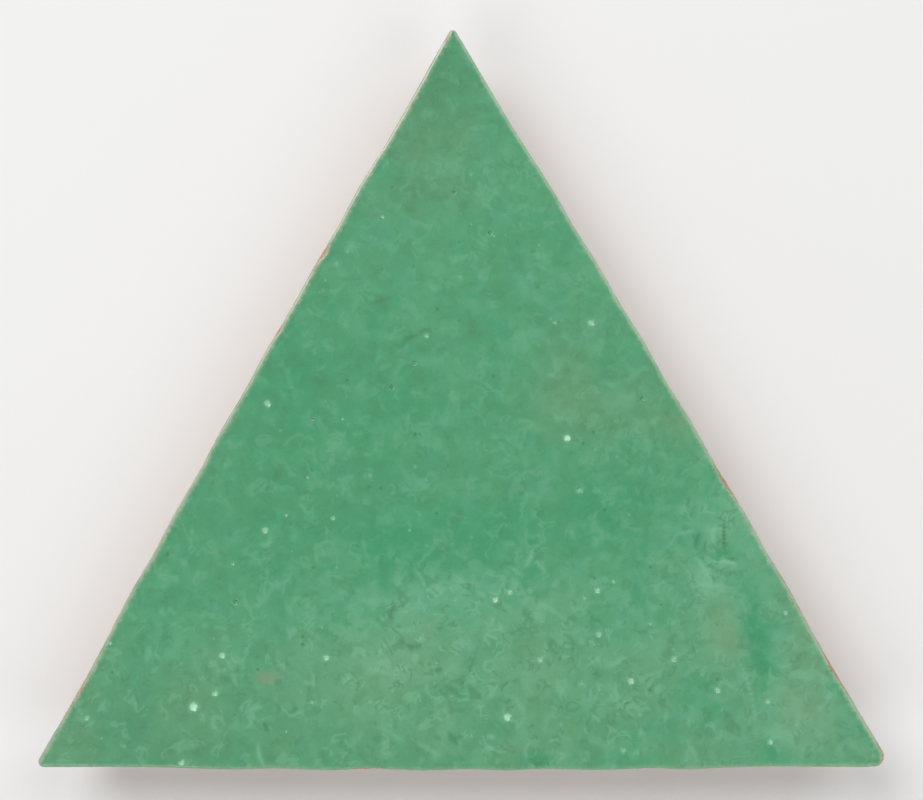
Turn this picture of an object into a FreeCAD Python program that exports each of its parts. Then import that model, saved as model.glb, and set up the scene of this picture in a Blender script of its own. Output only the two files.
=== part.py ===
import FreeCAD, Part
import math
import os

# A hand-cut triangular zellige tile: a flat piece of terracotta, glazed on its face only.
# The maker strikes the three sides out of a square field tile with a sharp hammer, then
# knaps the clay away behind the glaze, so that only the face edges of two tiles touch.
# Units are millimetres. +Z points out of the glazed face, the base side runs along +X
# and the apex points to +Y. The origin is on the back face, under the middle of the
# triangle, where its three medians meet.

# Outline of the glazed face, between its corners taken as sharp
BASE_SIDE = 100.1
LEFT_SIDE = 99.3
RIGHT_SIDE = 100.6
BASE_BOW = 0.35      # each side swells outwards by this much at its middle
LEFT_BOW = 0.30
RIGHT_BOW = 0.35
APEX_RADIUS = 0.6
LEFT_CORNER_RADIUS = 0.7
RIGHT_CORNER_RADIUS = 1.3

# Section from the face to the back
THICKNESS = 11.5
FACE_CROWN = 0.3     # the face is this much lower at its corners than at its middle
ARRIS_RADIUS = 0.4   # roll of the glaze over the face edge
LIP_HEIGHT = 2.4     # clean break below the face edge
LIP_INSET = 0.2      # undercut of the side where the clean break ends
BACK_INSET = 3.3     # undercut of the side at the back face
BACK_BLUNTING = 3.0  # corners are struck off to a radius this much larger at the back

# Hammer blows along the sides
BLOW_PITCH = 10.5
BLOW_SPREAD = 0.16   # share of the pitch by which a blow lands off its place
FACE_BITE = 0.13     # how far a blow nicks the face edge
SCAR_HEAD_DEPTH = 0.25    # bite of a blow's scar where the clean break ends
SCAR_FOOT_DEPTH = 1.0     # bite of the scar where it runs out at the back face
SCAR_DEPTH_SPREAD = 0.35  # share of that depth by which two scars differ
SCAR_RUN_IN = 7.0         # from the tip of the scar's cone, outside the clay, to the clean break
SCAR_SPREAD = 35.0        # degrees from the cone's axis to its surface
CORNER_SCAR_DEPTH = 0.9   # the same bite of the one blow that strikes off each corner

# Flakes knocked off the glazed edge: side, distance from the side's first corner,
# length along the edge and depth into the face
EDGE_FLAKES = (
    ("left", 30.5, 3.4, 0.55),
    ("left", 41.0, 2.4, 0.45),
    ("right", 13.0, 4.0, 0.55),
    ("right", 38.6, 6.0, 0.50),
    ("base", 38.0, 4.4, 0.45),
    ("base", 72.5, 3.6, 0.40),
)

# What the unevenness of a blow is for
PLACE, DEPTH = 1, 2

NODE = "tile"


def uneven(side_number, blow_number, purpose):
    """A number between -1 and 1 that jumps about from blow to blow, but is the same every time."""
    jumps = 43758.5453 * math.sin(12.9898 * blow_number + 78.233 * side_number + 37.719 * purpose)
    return 2 * (jumps - math.floor(jumps)) - 1


class Side:
    """One side of the triangle, walked counter-clockwise, with its bow and its first corner."""

    def __init__(self, number, name, start, end, bow, start_radius):
        self.number = number
        self.name = name
        self.start = start
        self.bow = bow
        self.start_radius = start_radius
        self.along = (end - start).normalize()
        self.outward = FreeCAD.Vector(self.along.y, -self.along.x, 0)

    def distance(self, point):
        """How far along the side a point lies."""
        return (point - self.start).dot(self.along)


class Level:
    """The outline at one height: every side moved inwards by the inset, with blunt corners."""

    def __init__(self, sides, inset, height, blunting=0.0):
        self.sides = sides
        self.inset = inset
        self.height = height
        self.blunting = blunting
        self.arcs = {side.name: self.corner_arc(sides[i - 1], side) for i, side in enumerate(sides)}

    def corner_arc(self, before, after):
        """Start, middle and end point of the blunt corner between two sides."""
        inwards = (before.outward + after.outward).normalize() * -1
        half_angle = math.acos(before.along.dot(after.along * -1)) / 2
        corner = after.start + inwards * (self.inset / math.sin(half_angle))
        corner.z = self.height
        radius = after.start_radius + self.blunting
        reach = radius / math.tan(half_angle)
        centre = corner + inwards * (radius / math.sin(half_angle))
        return corner - before.along * reach, centre - inwards * radius, corner + after.along * reach

    def ends(self, side):
        """The points where a side leaves its first blunt corner and reaches the next one."""
        following = self.sides[(self.sides.index(side) + 1) % len(self.sides)]
        return self.arcs[side.name][2], self.arcs[following.name][0]

    def blows(self, side):
        """How far along a side the hammer blows land, between this level's blunt corners."""
        first, last = [side.distance(end) for end in self.ends(side)]
        count = max(2, round((last - first) / BLOW_PITCH))
        pitch = (last - first) / count
        places = [i + 0.5 + BLOW_SPREAD * uneven(side.number, i, PLACE) for i in range(count)]
        return [first + pitch * place for place in places]

    def point(self, side, distance, bite=0.0):
        """The point that far along a side, on its bowed line less a bite."""
        first, last = self.ends(side)
        share = (distance - side.distance(first)) / (last - first).Length
        swell = 4 * side.bow * share * (1 - share)
        return first + (last - first) * share + side.outward * (swell - bite)

    def corner_along(self, side):
        """The direction in which the outline runs at the middle of a side's first corner."""
        start, _, end = self.arcs[side.name]
        return (end - start).normalize()

    def corner_point(self, side, bite):
        """The middle of a side's first blunt corner, less a bite."""
        along = self.corner_along(side)
        outward = FreeCAD.Vector(along.y, -along.x, 0)
        return self.arcs[side.name][1] - outward * bite

    def side_edge(self, side, blows):
        """A side's edge: a smooth line that dips at each blow and rises between two blows."""
        first, last = self.ends(side)
        points = [first, self.point(side, blows[0], FACE_BITE)]
        for before, blow in zip(blows, blows[1:]):
            points.append(self.point(side, (before + blow) / 2))
            points.append(self.point(side, blow, FACE_BITE))
        points.append(last)
        curve = Part.BSplineCurve()
        curve.interpolate(Points=points, InitialTangent=side.along, FinalTangent=side.along)
        return curve.toShape()

    def wire(self, blows):
        edges = []
        for side in self.sides:
            edges.append(Part.Arc(*self.arcs[side.name]).toShape())
            edges.append(self.side_edge(side, blows[side.name]))
        return Part.Wire(edges)


def triangle_sides():
    """The three sides round the middle of the triangle, from the left corner on."""
    apex_x = (BASE_SIDE**2 + LEFT_SIDE**2 - RIGHT_SIDE**2) / (2 * BASE_SIDE)
    apex_y = math.sqrt(LEFT_SIDE**2 - apex_x**2)
    left = FreeCAD.Vector(0, 0, 0)
    right = FreeCAD.Vector(BASE_SIDE, 0, 0)
    apex = FreeCAD.Vector(apex_x, apex_y, 0)
    middle = (left + right + apex) * (1 / 3)
    left, right, apex = left - middle, right - middle, apex - middle
    return [
        Side(0, "base", left, right, BASE_BOW, LEFT_CORNER_RADIUS),
        Side(1, "right", right, apex, RIGHT_BOW, RIGHT_CORNER_RADIUS),
        Side(2, "left", apex, left, LEFT_BOW, APEX_RADIUS),
    ]


def crowned(body, sides):
    """Lowers the face from its middle to its corners, as part of a large ball."""
    reach = max(side.start.Length for side in sides)
    radius = (reach**2 + FACE_CROWN**2) / (2 * FACE_CROWN)
    ball = Part.makeSphere(radius)
    # Turned so that neither its poles nor its seam lie on the tile's face
    ball.rotate(FreeCAD.Vector(0, 0, 0), FreeCAD.Vector(0, 1, 0), 90)
    ball.translate(FreeCAD.Vector(0, 0, THICKNESS - radius))
    return body.common(ball).Solids[0]


def roll_face_edge(body):
    """Rounds the glazed edge all the way round the face."""
    face = max(body.Faces, key=lambda f: f.CenterOfMass.z)
    return body.makeFillet(ARRIS_RADIUS, face.OuterWire.Edges).Solids[0]


def scar(head, foot, along):
    """One blow's scar: a cone whose line of deepest cut runs from the clean break to the back."""
    down = (foot - head).normalize()
    out = down.cross(along)
    spread = math.radians(SCAR_SPREAD)
    axis = down * math.cos(spread) + out * math.sin(spread)
    # The cone goes on as far again past the back face, clear of the clay
    line = SCAR_RUN_IN + 2 * (foot - head).Length
    tip = head - down * SCAR_RUN_IN
    return Part.makeCone(0, line * math.sin(spread), line * math.cos(spread), tip, axis)


def knapped(body, sides, blows, lip, back):
    """Cuts the row of scars into the undercut of each side, and one scar into each corner."""
    for side in sides:
        for i, distance in enumerate(blows[side.name]):
            depth = SCAR_FOOT_DEPTH * (1 + SCAR_DEPTH_SPREAD * uneven(side.number, i, DEPTH))
            head = lip.point(side, distance, SCAR_HEAD_DEPTH)
            foot = back.point(side, distance, depth)
            body = body.cut(scar(head, foot, side.along))
        head = lip.corner_point(side, SCAR_HEAD_DEPTH)
        foot = back.corner_point(side, CORNER_SCAR_DEPTH)
        body = body.cut(scar(head, foot, back.corner_along(side)))
    return body


def flake(side, distance, length, depth, face):
    """One flake off the glazed edge, struck by a ball whose cap is that long and deep."""
    radius = (length**2 / 4 + depth**2) / (2 * depth)
    lift = (radius - depth) * math.sqrt(0.5)
    edge = face.point(side, distance, FACE_BITE / 2)
    centre = edge + side.outward * lift + FreeCAD.Vector(0, 0, lift)
    return Part.makeSphere(radius, centre)


def flaked(body, sides, face):
    """Cuts the flakes out of the glazed edge."""
    by_name = {side.name: side for side in sides}
    for name, distance, length, depth in EDGE_FLAKES:
        body = body.cut(flake(by_name[name], distance, length, depth, face))
    return body


def tile():
    sides = triangle_sides()
    face = Level(sides, 0, THICKNESS)
    lip = Level(sides, LIP_INSET, THICKNESS - LIP_HEIGHT)
    back = Level(sides, BACK_INSET, 0, BACK_BLUNTING)
    blows = {side.name: back.blows(side) for side in sides}
    body = Part.makeLoft([level.wire(blows) for level in (back, lip, face)], True, True)
    body = crowned(body, sides)
    body = roll_face_edge(body)
    body = knapped(body, sides, blows, lip, back)
    body = flaked(body, sides, face)
    return body.Solids[0]


def main():
    os.makedirs("parts", exist_ok=True)
    solid = tile()
    solid.exportStep(f"parts/{NODE}.step")
    box = solid.optimalBoundingBox(False, False)
    print(f"{NODE}: valid {solid.isValid()}, {len(solid.Faces)} faces, volume {solid.Volume:.1f} mm3")
    print(f"box {box.XLength:.2f} x {box.YLength:.2f} x {box.ZLength:.2f} mm")


main()
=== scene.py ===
"""A hand-cut zellige tile: a wavy, pinholed green glaze on the face of a struck clay body."""

import math
from collections import namedtuple
from types import SimpleNamespace

import bmesh
import bpy
import numpy as np
from bpy.props import FloatProperty, FloatVectorProperty, IntProperty, PointerProperty
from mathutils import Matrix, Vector, noise
from mathutils.bvhtree import BVHTree
from mathutils.kdtree import KDTree


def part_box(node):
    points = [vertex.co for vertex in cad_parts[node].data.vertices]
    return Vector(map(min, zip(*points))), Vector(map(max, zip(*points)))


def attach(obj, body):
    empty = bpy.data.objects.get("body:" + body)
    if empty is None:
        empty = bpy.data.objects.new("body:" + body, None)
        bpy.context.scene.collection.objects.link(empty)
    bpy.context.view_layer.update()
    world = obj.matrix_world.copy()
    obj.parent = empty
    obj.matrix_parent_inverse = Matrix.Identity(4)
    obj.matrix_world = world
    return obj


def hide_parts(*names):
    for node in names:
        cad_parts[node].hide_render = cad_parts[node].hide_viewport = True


bl_info = {
    "name": "Zellige Tile",
    "version": (1, 0, 0),
    "blender": (4, 5, 0),
    "location": "3D View > Sidebar > Zellige",
    "description": "Builds a hand-cut zellige tile and the stage that it lies on",
    "category": "Add Mesh",
}

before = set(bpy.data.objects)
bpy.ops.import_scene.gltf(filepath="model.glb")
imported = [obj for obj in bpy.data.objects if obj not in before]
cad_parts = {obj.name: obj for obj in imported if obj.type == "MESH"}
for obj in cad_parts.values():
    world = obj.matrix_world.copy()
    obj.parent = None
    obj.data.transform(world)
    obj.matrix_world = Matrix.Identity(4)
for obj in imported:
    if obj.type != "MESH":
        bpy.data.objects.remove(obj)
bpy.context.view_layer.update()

MM = 0.001
NODE = "tile"
PIECE = "glazed_tile"
SLOT = "glazed_terracotta"

# Rows of the mesh round the face edge: how far in from the edge and how far below the face, in mm
FACE_RING_INSET = 1.6
EDGE_ROWS = ((0.8, 0.0), (0.4, 0.0), (0.12, 0.12), (0.0, 0.4), (0.0, 1.0))
EDGE_PIVOT = 1.3      # the rays of those rows meet this far in from the edge and below the face
SIDE_ROWS = 14        # rows from the last of them down to the back
ARRIS = 0.4           # roll of the glaze over the face edge, mm
EDGE_DROP = 1.1       # the face edge is measured this far below the face, as a share of that roll
FALL_AT = 0.9         # the fall of the face is taken this far out towards a corner, as a share
OUTSIDE = 0.1         # rays towards the tile start this far out, m
PIVOT_OUT = 0.01      # and rays towards the pivot this far from it, m
TRACE = 0.01          # what lies nearer to the face or back than this is on it, mm
ROUNDING = 1e-6       # equal numbers may differ by this much
SHARP = 55            # faces that meet at more than this angle, in degrees, are shaded apart
NORMAL_BLUR = 8       # rounds that even out the direction of the relief, so that no ridge folds
# The fracture's greatest depth at the foot in mm, and by how much of the height it is deeper above it
FOOT_DEPTH, FOOT_SLOPE = 0.15, 0.6
FOOT_DROP = 0.7       # share of its height by which a point may move down

# Level at which the far floor and the foot of the sky show
BACKDROP = 0.86
FADE_FROM, FADE_TO = 0.12, 0.60       # the floor fades into it between these distances, m

# Where the mesh is refined: its distance from the face edge, mm
FINE_SIDE = 1.1
FINE_FACE = 0.7
# and its distance from a stroke or from a pinhole's rim, mm, once for each halving
STROKE_MARGINS = (0.8, 0.4)
PIT_MARGINS = (0.5, 0.25, 0.10)
PIT_RIM = 0.6         # from the pinhole's middle to that rim, as a share of its width

# Scattered pits begin this far from the face edge, and are as many as they get that much further in, mm
PIT_FREE, PIT_FADE = 1.2, 0.4
# From the first to the second of these heights on the face, in mm, scattered pinholes get this much fewer
FEWER_FROM_TO, FEWER = (-10, 25), (1.0, 0.3)

# Bends in the outlines of the soft patches: their size and how far they reach, mm
PATCH_BENDS = ((6, 0.9), (2, 0.45))
BEND_SEED = 248       # never nought, which would draw another seed at each run

# A soft patch of the glaze: middle, half width and half height in mm, turn in degrees, and by how
# much it is greener (or browner, below nought), lighter (or darker), fuller of pale strokes and rustier
Patch = namedtuple("Patch", "x y wide high turn green light strokes rust", defaults=(0, 0, 0, 0, 0))
PATCHES = [Patch(*row) for row in (
    # Where the copper has run deep
    (-19, 18, 7, 8, 0, 0.55, -0.1), (-24, 0, 8, 14, 0, 0.35, -0.25), (-4, -2, 13, 5, 0, 0.7, -0.1),
    (18, 1, 9, 5, 20, 0.6), (-8, 13, 6, 6, 0, 0.35), (-15, -11, 7, 2.5, 0, 0.3),
    (-38, -12, 8, 11, 0, 0.3), (-2, 8, 20, 11, 0, 0.17), (28, -21, 3, 3, 0, 0.6, -0.2),
    (34.3, -13.2, 0.9, 4.5, 11, 2.3, -0.9), (34.6, -15, 1.8, 9, 11, 0.6, -0.2),
    (36.3, -26.6, 1.2, 1.4, 0, 1.2, -1.0), (43.3, -19.3, 0.45, 0.35, 0, 3.0),
    # Where it is thin and the clay warms it
    (-3, 43, 5, 6, 0, -0.4), (12.5, 14, 5.5, 6, 0, -0.5), (22, 12, 5, 4, 0, -0.5),
    (25.7, 10.9, 1.5, 1.5, 0, -0.5), (0, -21, 54, 9, 0, -0.35, 0.1, 0.5), (-32, -22, 6, 4, 0, -0.3),
    (-7, -16, 5, 3, 0, -0.3, 0.5, 0.3), (30.6, -13, 2.0, 3.5, 8, -1.0), (39, -22, 3, 3, 0, -0.5, 0.3),
    (44, -26, 4, 4, 0, -0.3), (40, -10, 4, 9, 0, -0.5), (-45, -26, 4, 4, 0, -0.3),
    # Where it is thick and dark, or milky
    (-1, 53, 5, 6, 0, 0.3, -1.2), (-5, 47, 5, 5, 0, 0, -0.9), (-6, 38, 2.5, 2.5, 0, 0, -0.9),
    (-18, 17, 4, 3, 0, 0, -0.4), (-38, -23, 10, 8, 0, 0, -0.75), (-28, -27, 17, 2.5, 0, 0, -0.6),
    (9, -28, 1.3, 0.6, 0, 1.0, -1.6), (30.5, -1, 3.5, 5, 0, 0, 1.1, 1.0),
    (30.8, -4.0, 1.6, 1.0, 0, 0.8, -1.6), (28.6, -7, 1.8, 1.6, 0, 0, 1.3, 0.8),
    (-8, -10, 5, 3, 0, 0, 0.8, 0.6), (2, -9, 6, 3, 0, 0, 0.8, 0.6), (5, -14, 30, 10, 0, 0, 0.7, 0.3),
    (42, -22, 9, 8, 0, 0, 0.45), (34, -3, 9, 12, 0, 0, 0.65), (37, -24, 3, 3, 0, 0, 0.6),
)] + [
    # Where iron has smudged it
    Patch(-22.7, -18.3, 1.3, 0.55, rust=0.6), Patch(-3.8, -12.3, 0.9, 0.7, turn=40, rust=0.25),
]

# A stroke in the glaze that stands out: its two ends and the point towards which it bends, its width,
# all in mm, and how pale it is (or dark, below nought)
Stroke = namedtuple("Stroke", "start bend end width tone")
STROKES = [Stroke(*row) for row in (
    ((4.7, -20.2), (7.6, -20.6), (7.4, -23.5), 0.45, 0.6),
    ((8.4, -3.6), (8.2, -4.6), (7.6, -5.3), 0.50, 0.8),
    ((8.7, -4.8), (9.3, -5.1), (9.8, -5.9), 0.40, 0.7),
    ((5.6, -5.4), (6.4, -5.6), (7.2, -6.6), 0.40, 0.5),
    ((9.1, -9.7), (10.6, -10.2), (12.6, -11.8), 0.50, 0.6),
    ((1.9, -8.3), (2.6, -8.5), (3.1, -9.1), 0.40, 0.5),
    ((-5.4, -5.7), (-4.5, -6.4), (-3.9, -7.9), 0.45, 0.5),
    ((-7.6, -9.9), (-8.2, -11.2), (-7.9, -12.4), 0.45, -0.6),
    ((-7.1, -13.8), (-5.5, -15.6), (-3.8, -13.9), 0.45, -0.6),
    ((-6.4, -10.6), (-4.6, -9.4), (-3.0, -11.0), 0.40, 0.4),
    ((-9.9, -24.0), (-8.2, -24.3), (-6.2, -26.0), 0.40, 0.4),
    ((-5.6, -25.4), (-4.0, -26.4), (-2.3, -27.3), 0.40, 0.5),
    ((-10.7, -17.4), (-9.5, -17.3), (-8.3, -17.8), 0.55, 0.7),
    ((12.3, -18.2), (12.2, -19.2), (11.6, -20.3), 0.45, 0.4),
    ((-1.8, -19.2), (-0.6, -19.6), (0.2, -20.8), 0.50, -0.6),
    ((-1.3, -24.6), (-0.9, -25.4), (-0.2, -26.1), 0.55, -0.7),
    ((-2.8, -17.2), (-2.4, -17.6), (-2.2, -17.2), 0.60, -0.6),
    ((0.4, -18.0), (0.5, -18.5), (0.3, -18.9), 0.55, -0.5),
    ((3.2, -25.1), (3.6, -25.0), (4.0, -25.3), 0.40, 0.8),
    ((3.0, -26.4), (3.4, -26.6), (3.8, -26.4), 0.45, 0.8),
    ((30.7, 0.3), (30.5, -2.0), (30.8, -4.3), 0.30, -1.2),
    ((30.8, -4.3), (31.2, -4.7), (31.9, -4.4), 0.30, -1.0),
    ((30.1, -4.9), (31.0, -4.7), (32.0, -5.1), 0.50, 1.2),
    ((27.8, -1.5), (27.2, -2.4), (27.5, -3.3), 0.40, -0.8),
    ((28.6, -2.3), (28.2, -3.2), (28.5, -3.9), 0.30, -0.7),
    ((29.7, -0.6), (29.1, -1.6), (29.5, -2.8), 0.50, 0.9),
    ((28.1, -4.4), (30.2, -7.2), (33.8, -5.6), 0.40, -0.6),
    ((27.2, -4.4), (28.3, -5.2), (29.0, -6.9), 0.55, 0.8),
    ((26.9, -7.8), (28.5, -7.2), (30.1, -7.8), 0.55, 0.8),
    ((32.3, -16.4), (33.8, -18.8), (34.2, -23.0), 0.35, 0.7),
    ((26.2, -18.1), (26.7, -17.3), (27.8, -16.9), 0.40, 0.4),
    ((-23.4, -25.8), (-23.5, -27.4), (-22.6, -28.6), 0.40, 0.8),
    ((-24.8, -22.4), (-24.0, -21.7), (-22.9, -21.7), 0.50, 0.6),
    ((-22.9, -23.4), (-22.6, -23.8), (-22.2, -24.6), 0.45, -0.8),
    ((-22.0, -1.6), (-21.8, -3.4), (-23.3, -2.8), 0.45, 0.6),
    ((-32.3, -4.7), (-31.8, -5.0), (-32.0, -5.4), 0.60, 0.5),
    ((-10.4, 25.0), (-9.2, 25.5), (-8.0, 25.7), 0.40, -0.6),
    ((-6.8, 19.9), (-6.2, 21.5), (-4.9, 21.3), 0.45, -0.8),
    ((-4.9, 21.3), (-4.2, 22.4), (-3.4, 21.9), 0.45, -0.6),
    ((-3.5, 26.9), (-3.1, 27.1), (-2.8, 26.6), 0.45, 0.5),
    ((10.2, 16.8), (10.7, 16.9), (11.0, 16.5), 0.45, 0.5),
    ((11.0, 12.2), (11.4, 11.6), (11.9, 12.0), 0.40, 0.5),
)]

STROKE_STEPS = 12      # points along a stroke
STROKE_SPREAD = 0.68   # its tone fades away from them by this share of its width
STROKE_REACH = 1       # and ends this far from it, mm
STROKE_ENDS = 0.25     # it is full in its middle, and at its ends by the root of this sine

# For the base, right and left side, at its first and at its last corner: how far in mm the glaze is
# worn back from where it ends, just below the face edge, and how pale it is where it thins over the edge
SIDE_WEAR = ((0.05, 0.05), (0.42, 0.12), (0.22, 0.24))
SIDE_PALENESS = ((0.35, 0.45), (1.0, 0.55), (0.95, 0.90))
GLAZE_END = -0.35     # distance from the face edge where unworn glaze ends, mm

# A worn stretch of the face edge: middle and reach in mm, how far the glaze is worn back in mm, and how
# orange the clay below it is
Wear = namedtuple("Wear", "x y reach width warmth")
WORN = [Wear(*row) for row in (
    (30.4, 4.4, 3.2, 0.62, 0.7), (43.8, -17.1, 2.4, 0.72, 0.9), (38.0, -8.0, 4.0, 0.50, 0.4),
    (49.0, -28.0, 1.6, 0.70, 0.1), (-1.4, 56.0, 1.3, 0.55, 0.0), (-9.8, 42.5, 2.0, 0.45, 0.5),
    (-16.4, 30.2, 2.6, 0.66, 0.3), (-21.3, 21.6, 1.8, 0.50, 0.4), (-44.5, -20.6, 3.5, 0.60, 0.3),
    (-10.5, -29.1, 2.4, 0.55, 0.6), (22.5, -29.1, 1.8, 0.50, 0.5),
)]

# A pit: middle in mm, width in mm, depth as a share of its width, and its painted glint: how much of a white
# highlight is painted on its floor (painted shade, below nought)
Pit = namedtuple("Pit", "x y width depth shine")
PIT_FACTS = ("width", "depth", "shine")
PINHOLES = [Pit(*row) for row in (
    (-30.9, -21.7, 0.97, 0.15, 1.0), (5.5, -22.9, 0.83, 0.15, 1.0), (4.1, -9.3, 0.64, 0.15, 0.72),
    (5.8, -8.4, 0.60, 0.12, 0.43), (9.3, -16.2, 0.69, 0.25, 0.43), (15.9, -8.2, 0.69, 0.15, 0.5),
    (17.8, -7.2, 0.41, 0.12, 0.37), (16.1, -13.3, 0.69, 0.12, 0.37), (19.8, -18.7, 0.78, 0.15, 0.56),
    (24.8, -16.2, 0.78, 0.15, 0.5), (29.9, -19.8, 0.69, 0.15, 0.5), (35.7, -21.1, 0.55, 0.12, 0.37),
    (36.0, -25.8, 0.64, 0.20, 0.56), (37.8, -10.8, 0.55, 0.12, 0.31), (19.0, -26.7, 0.55, 0.15, 0.37),
    (-3.9, 21.4, 0.51, 0.20, 0.37), (-22.3, 13.5, 0.78, 0.12, 0.43), (-22.6, -1.2, 0.74, 0.12, 0.43),
    (-14.7, 0.2, 0.51, 0.12, 0.31), (15.2, 22.9, 0.83, 0.20, 0.5), (11.0, 22.9, 0.46, 0.12, 0.25),
    (12.4, 9.5, 0.74, 0.15, 1.0), (13.8, 3.5, 0.83, 0.40, 0.37), (-27.6, -15.7, 0.74, 0.15, 0.56),
    (-15.5, -16.0, 0.69, 0.15, 0.56), (-28.4, -20.1, 0.69, 0.15, 0.5), (-32.3, -28.2, 0.74, 0.15, 0.56),
    (-43.3, -23.0, 0.55, 0.12, 0.25), (-40.6, -14.3, 0.46, 0.12, 0.25), (-17.2, -21.2, 0.41, 0.12, 0.25),
    (-9.0, 35.2, 0.46, 0.12, 0.25), (-7.9, 15.4, 0.55, 0.45, -1.0), (-5.3, 18.2, 0.60, 0.35, -0.9),
    (-0.7, 38.0, 0.50, 0.35, -0.7), (3.5, 33.3, 0.50, 0.40, -0.8), (21.1, 14.1, 0.50, 0.45, -0.8),
    (-26.0, -9.5, 0.60, 0.35, -0.7),
)]


def length_property(name, description, default, least=0.0):
    """A length, given in mm and stored in metres."""
    return FloatProperty(
        name=name, description=description, default=default * MM, min=least * MM, precision=5, unit="LENGTH")


class TileProperties(bpy.types.PropertyGroup):
    """Sizes of the tile's relief, in metres."""

    grid: length_property("Grid", "Spacing of the mesh before it is refined", 0.75, 0.3)
    wave_height: length_property("Wave height", "How far the glaze dips between its slow waves", 0.10)
    ripple_height: length_property("Ripple height", "How far the glaze dips between its ripples", 0.02)
    pinhole_density: FloatProperty(
        name="Pinholes", description="Pinholes on a square centimetre of glaze", default=1.0, min=0)
    pinhole_width: length_property("Pinhole width", "Width of the widest scattered pinhole", 0.50, 0.1)
    chip_width: length_property("Chip width", "How far the deepest chips reach into the face", 0.55)
    glaze_depth: length_property("Glaze depth", "Thickness of the glaze where it has chipped off", 0.12)
    grit_density: FloatProperty(
        name="Grit", description="Holes left by grit on a square centimetre of bare clay", default=6, min=0)
    grit_width: length_property("Grit width", "Width of the widest hole left by grit", 2.0, 0.1)
    fracture_depth: length_property("Fracture depth", "Roughness of the struck sides", 1.1)
    sand_depth: length_property("Sand depth", "Roughness of the back, which dried on sand", 0.25)
    seed: IntProperty(name="Seed", description="Another number scatters the pits anew", default=7, min=0)


def colour_property(name, description, default):
    """A colour, stored as a renderer reckons with it."""
    return FloatVectorProperty(
        name=name, description=description, default=default, size=3, min=0, max=1, subtype="COLOR")


class FinishProperties(bpy.types.PropertyGroup):
    """Colours of the glaze and of the clay."""

    glaze: colour_property("Glaze", "Copper green of most of the face", (0.105, 0.378, 0.185))
    sea: colour_property("Bluish glaze", "Where the green leans towards blue", (0.094, 0.376, 0.203))
    deep: colour_property("Deep glaze", "Where the copper has run deep", (0.070, 0.358, 0.173))
    thin: colour_property("Thin glaze", "Where the clay warms the glaze", (0.165, 0.366, 0.187))
    milky: colour_property("Milky glaze", "Pale strokes and clouds in the glaze", (0.212, 0.523, 0.322))
    murky: colour_property("Murky glaze", "Dark strokes and clouds in the glaze", (0.076, 0.240, 0.115))
    # Painted glint: the white highlight painted on a bright pinhole's floor
    shine: colour_property("Shine", "White of a pinhole's floor", (0.460, 0.860, 0.570))
    # Painted shade in the dark pinholes; also the dark of the scattered dots in the glaze
    shade: colour_property("Shade", "Dark of a pinhole's rim", (0.030, 0.130, 0.068))
    pale: colour_property("Pale edge", "Glaze that thins out over the face edge", (0.430, 0.520, 0.365))
    section: colour_property("Broken glaze", "Broken edge of the glass layer", (0.050, 0.190, 0.105))
    line: colour_property("Edge line", "Crushed glaze and clay along the face edge", (0.640, 0.500, 0.340))
    orange: colour_property("Orange line", "The same, where the clay fired orange", (0.620, 0.350, 0.210))
    clay: colour_property("Clay", "Fired clay of the body", (0.560, 0.375, 0.255))
    # Also the darker colour painted as shade into the fracture's hollows
    iron: colour_property("Iron", "Clay where it holds more iron", (0.480, 0.225, 0.115))
    shard: colour_property("Grog", "Dark crumbs of older ware in the clay", (0.240, 0.120, 0.075))
    rust: colour_property("Rust", "Rusty smudge in the glaze", (0.300, 0.300, 0.190))
    # Also painted as light onto the fracture's ridges
    dust: colour_property("Dust", "Pale dust and lime in the clay", (0.720, 0.590, 0.460))


class StageProperties(bpy.types.PropertyGroup):
    """The floor, the light and the camera."""

    floor: colour_property("Floor", "Colour of the floor", (0.930, 0.930, 0.925))
    lens: FloatProperty(name="Lens", description="Focal length in millimetres", default=85.0, min=20.0)
    fill: FloatProperty(
        name="Fill", description="Share of the picture's width that the tile takes",
        default=0.92, min=0.1, max=1.0, subtype="FACTOR")
    light: FloatProperty(
        name="Light", description="Level of the lamps; 1 shows colours about as they are written",
        default=1.0, min=0.0)


def operator(operation, reflected=False):
    """A method of Field that adds the Math node of one operator."""
    def method(self, other):
        return self.reckon(operation, *((other, self) if reflected else (self, other)))

    return method


class Field:
    """One output of a node, in an expression: numbers and other outputs can be reckoned with it."""

    def __init__(self, tree, socket):
        self.tree = tree
        self.socket = socket

    def output(self, name):
        """Another output of the same node."""
        return Field(self.tree, pick(self.socket.node.outputs, name))

    def reckon(self, operation, *values):
        return self.tree.node("ShaderNodeMath", {"operation": operation}, values)

    __add__, __radd__ = operator("ADD"), operator("ADD", True)
    __sub__, __rsub__ = operator("SUBTRACT"), operator("SUBTRACT", True)
    __mul__, __rmul__ = operator("MULTIPLY"), operator("MULTIPLY", True)
    __truediv__, __pow__ = operator("DIVIDE"), operator("POWER")
    at_least, at_most = operator("MAXIMUM"), operator("MINIMUM")

    def __abs__(self):
        return self.reckon("ABSOLUTE", self)

    def ramp(self, low, high):
        """Rises smoothly from 0 where this is low to 1 where it is high; falls where low is above high."""
        if low > high:
            return 1 - self.ramp(high, low)
        inputs = {"Value": self, "From Min": low, "From Max": high}
        return self.tree.node("ShaderNodeMapRange", {"interpolation_type": "SMOOTHSTEP"}, inputs)


def pick(sockets, key):
    """A node's socket by its place or its name; of sockets of one name, the one in use."""
    if isinstance(key, int):
        return [socket for socket in sockets if socket.enabled][key]
    return next(socket for socket in sockets if socket.enabled and socket.name == key)


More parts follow.
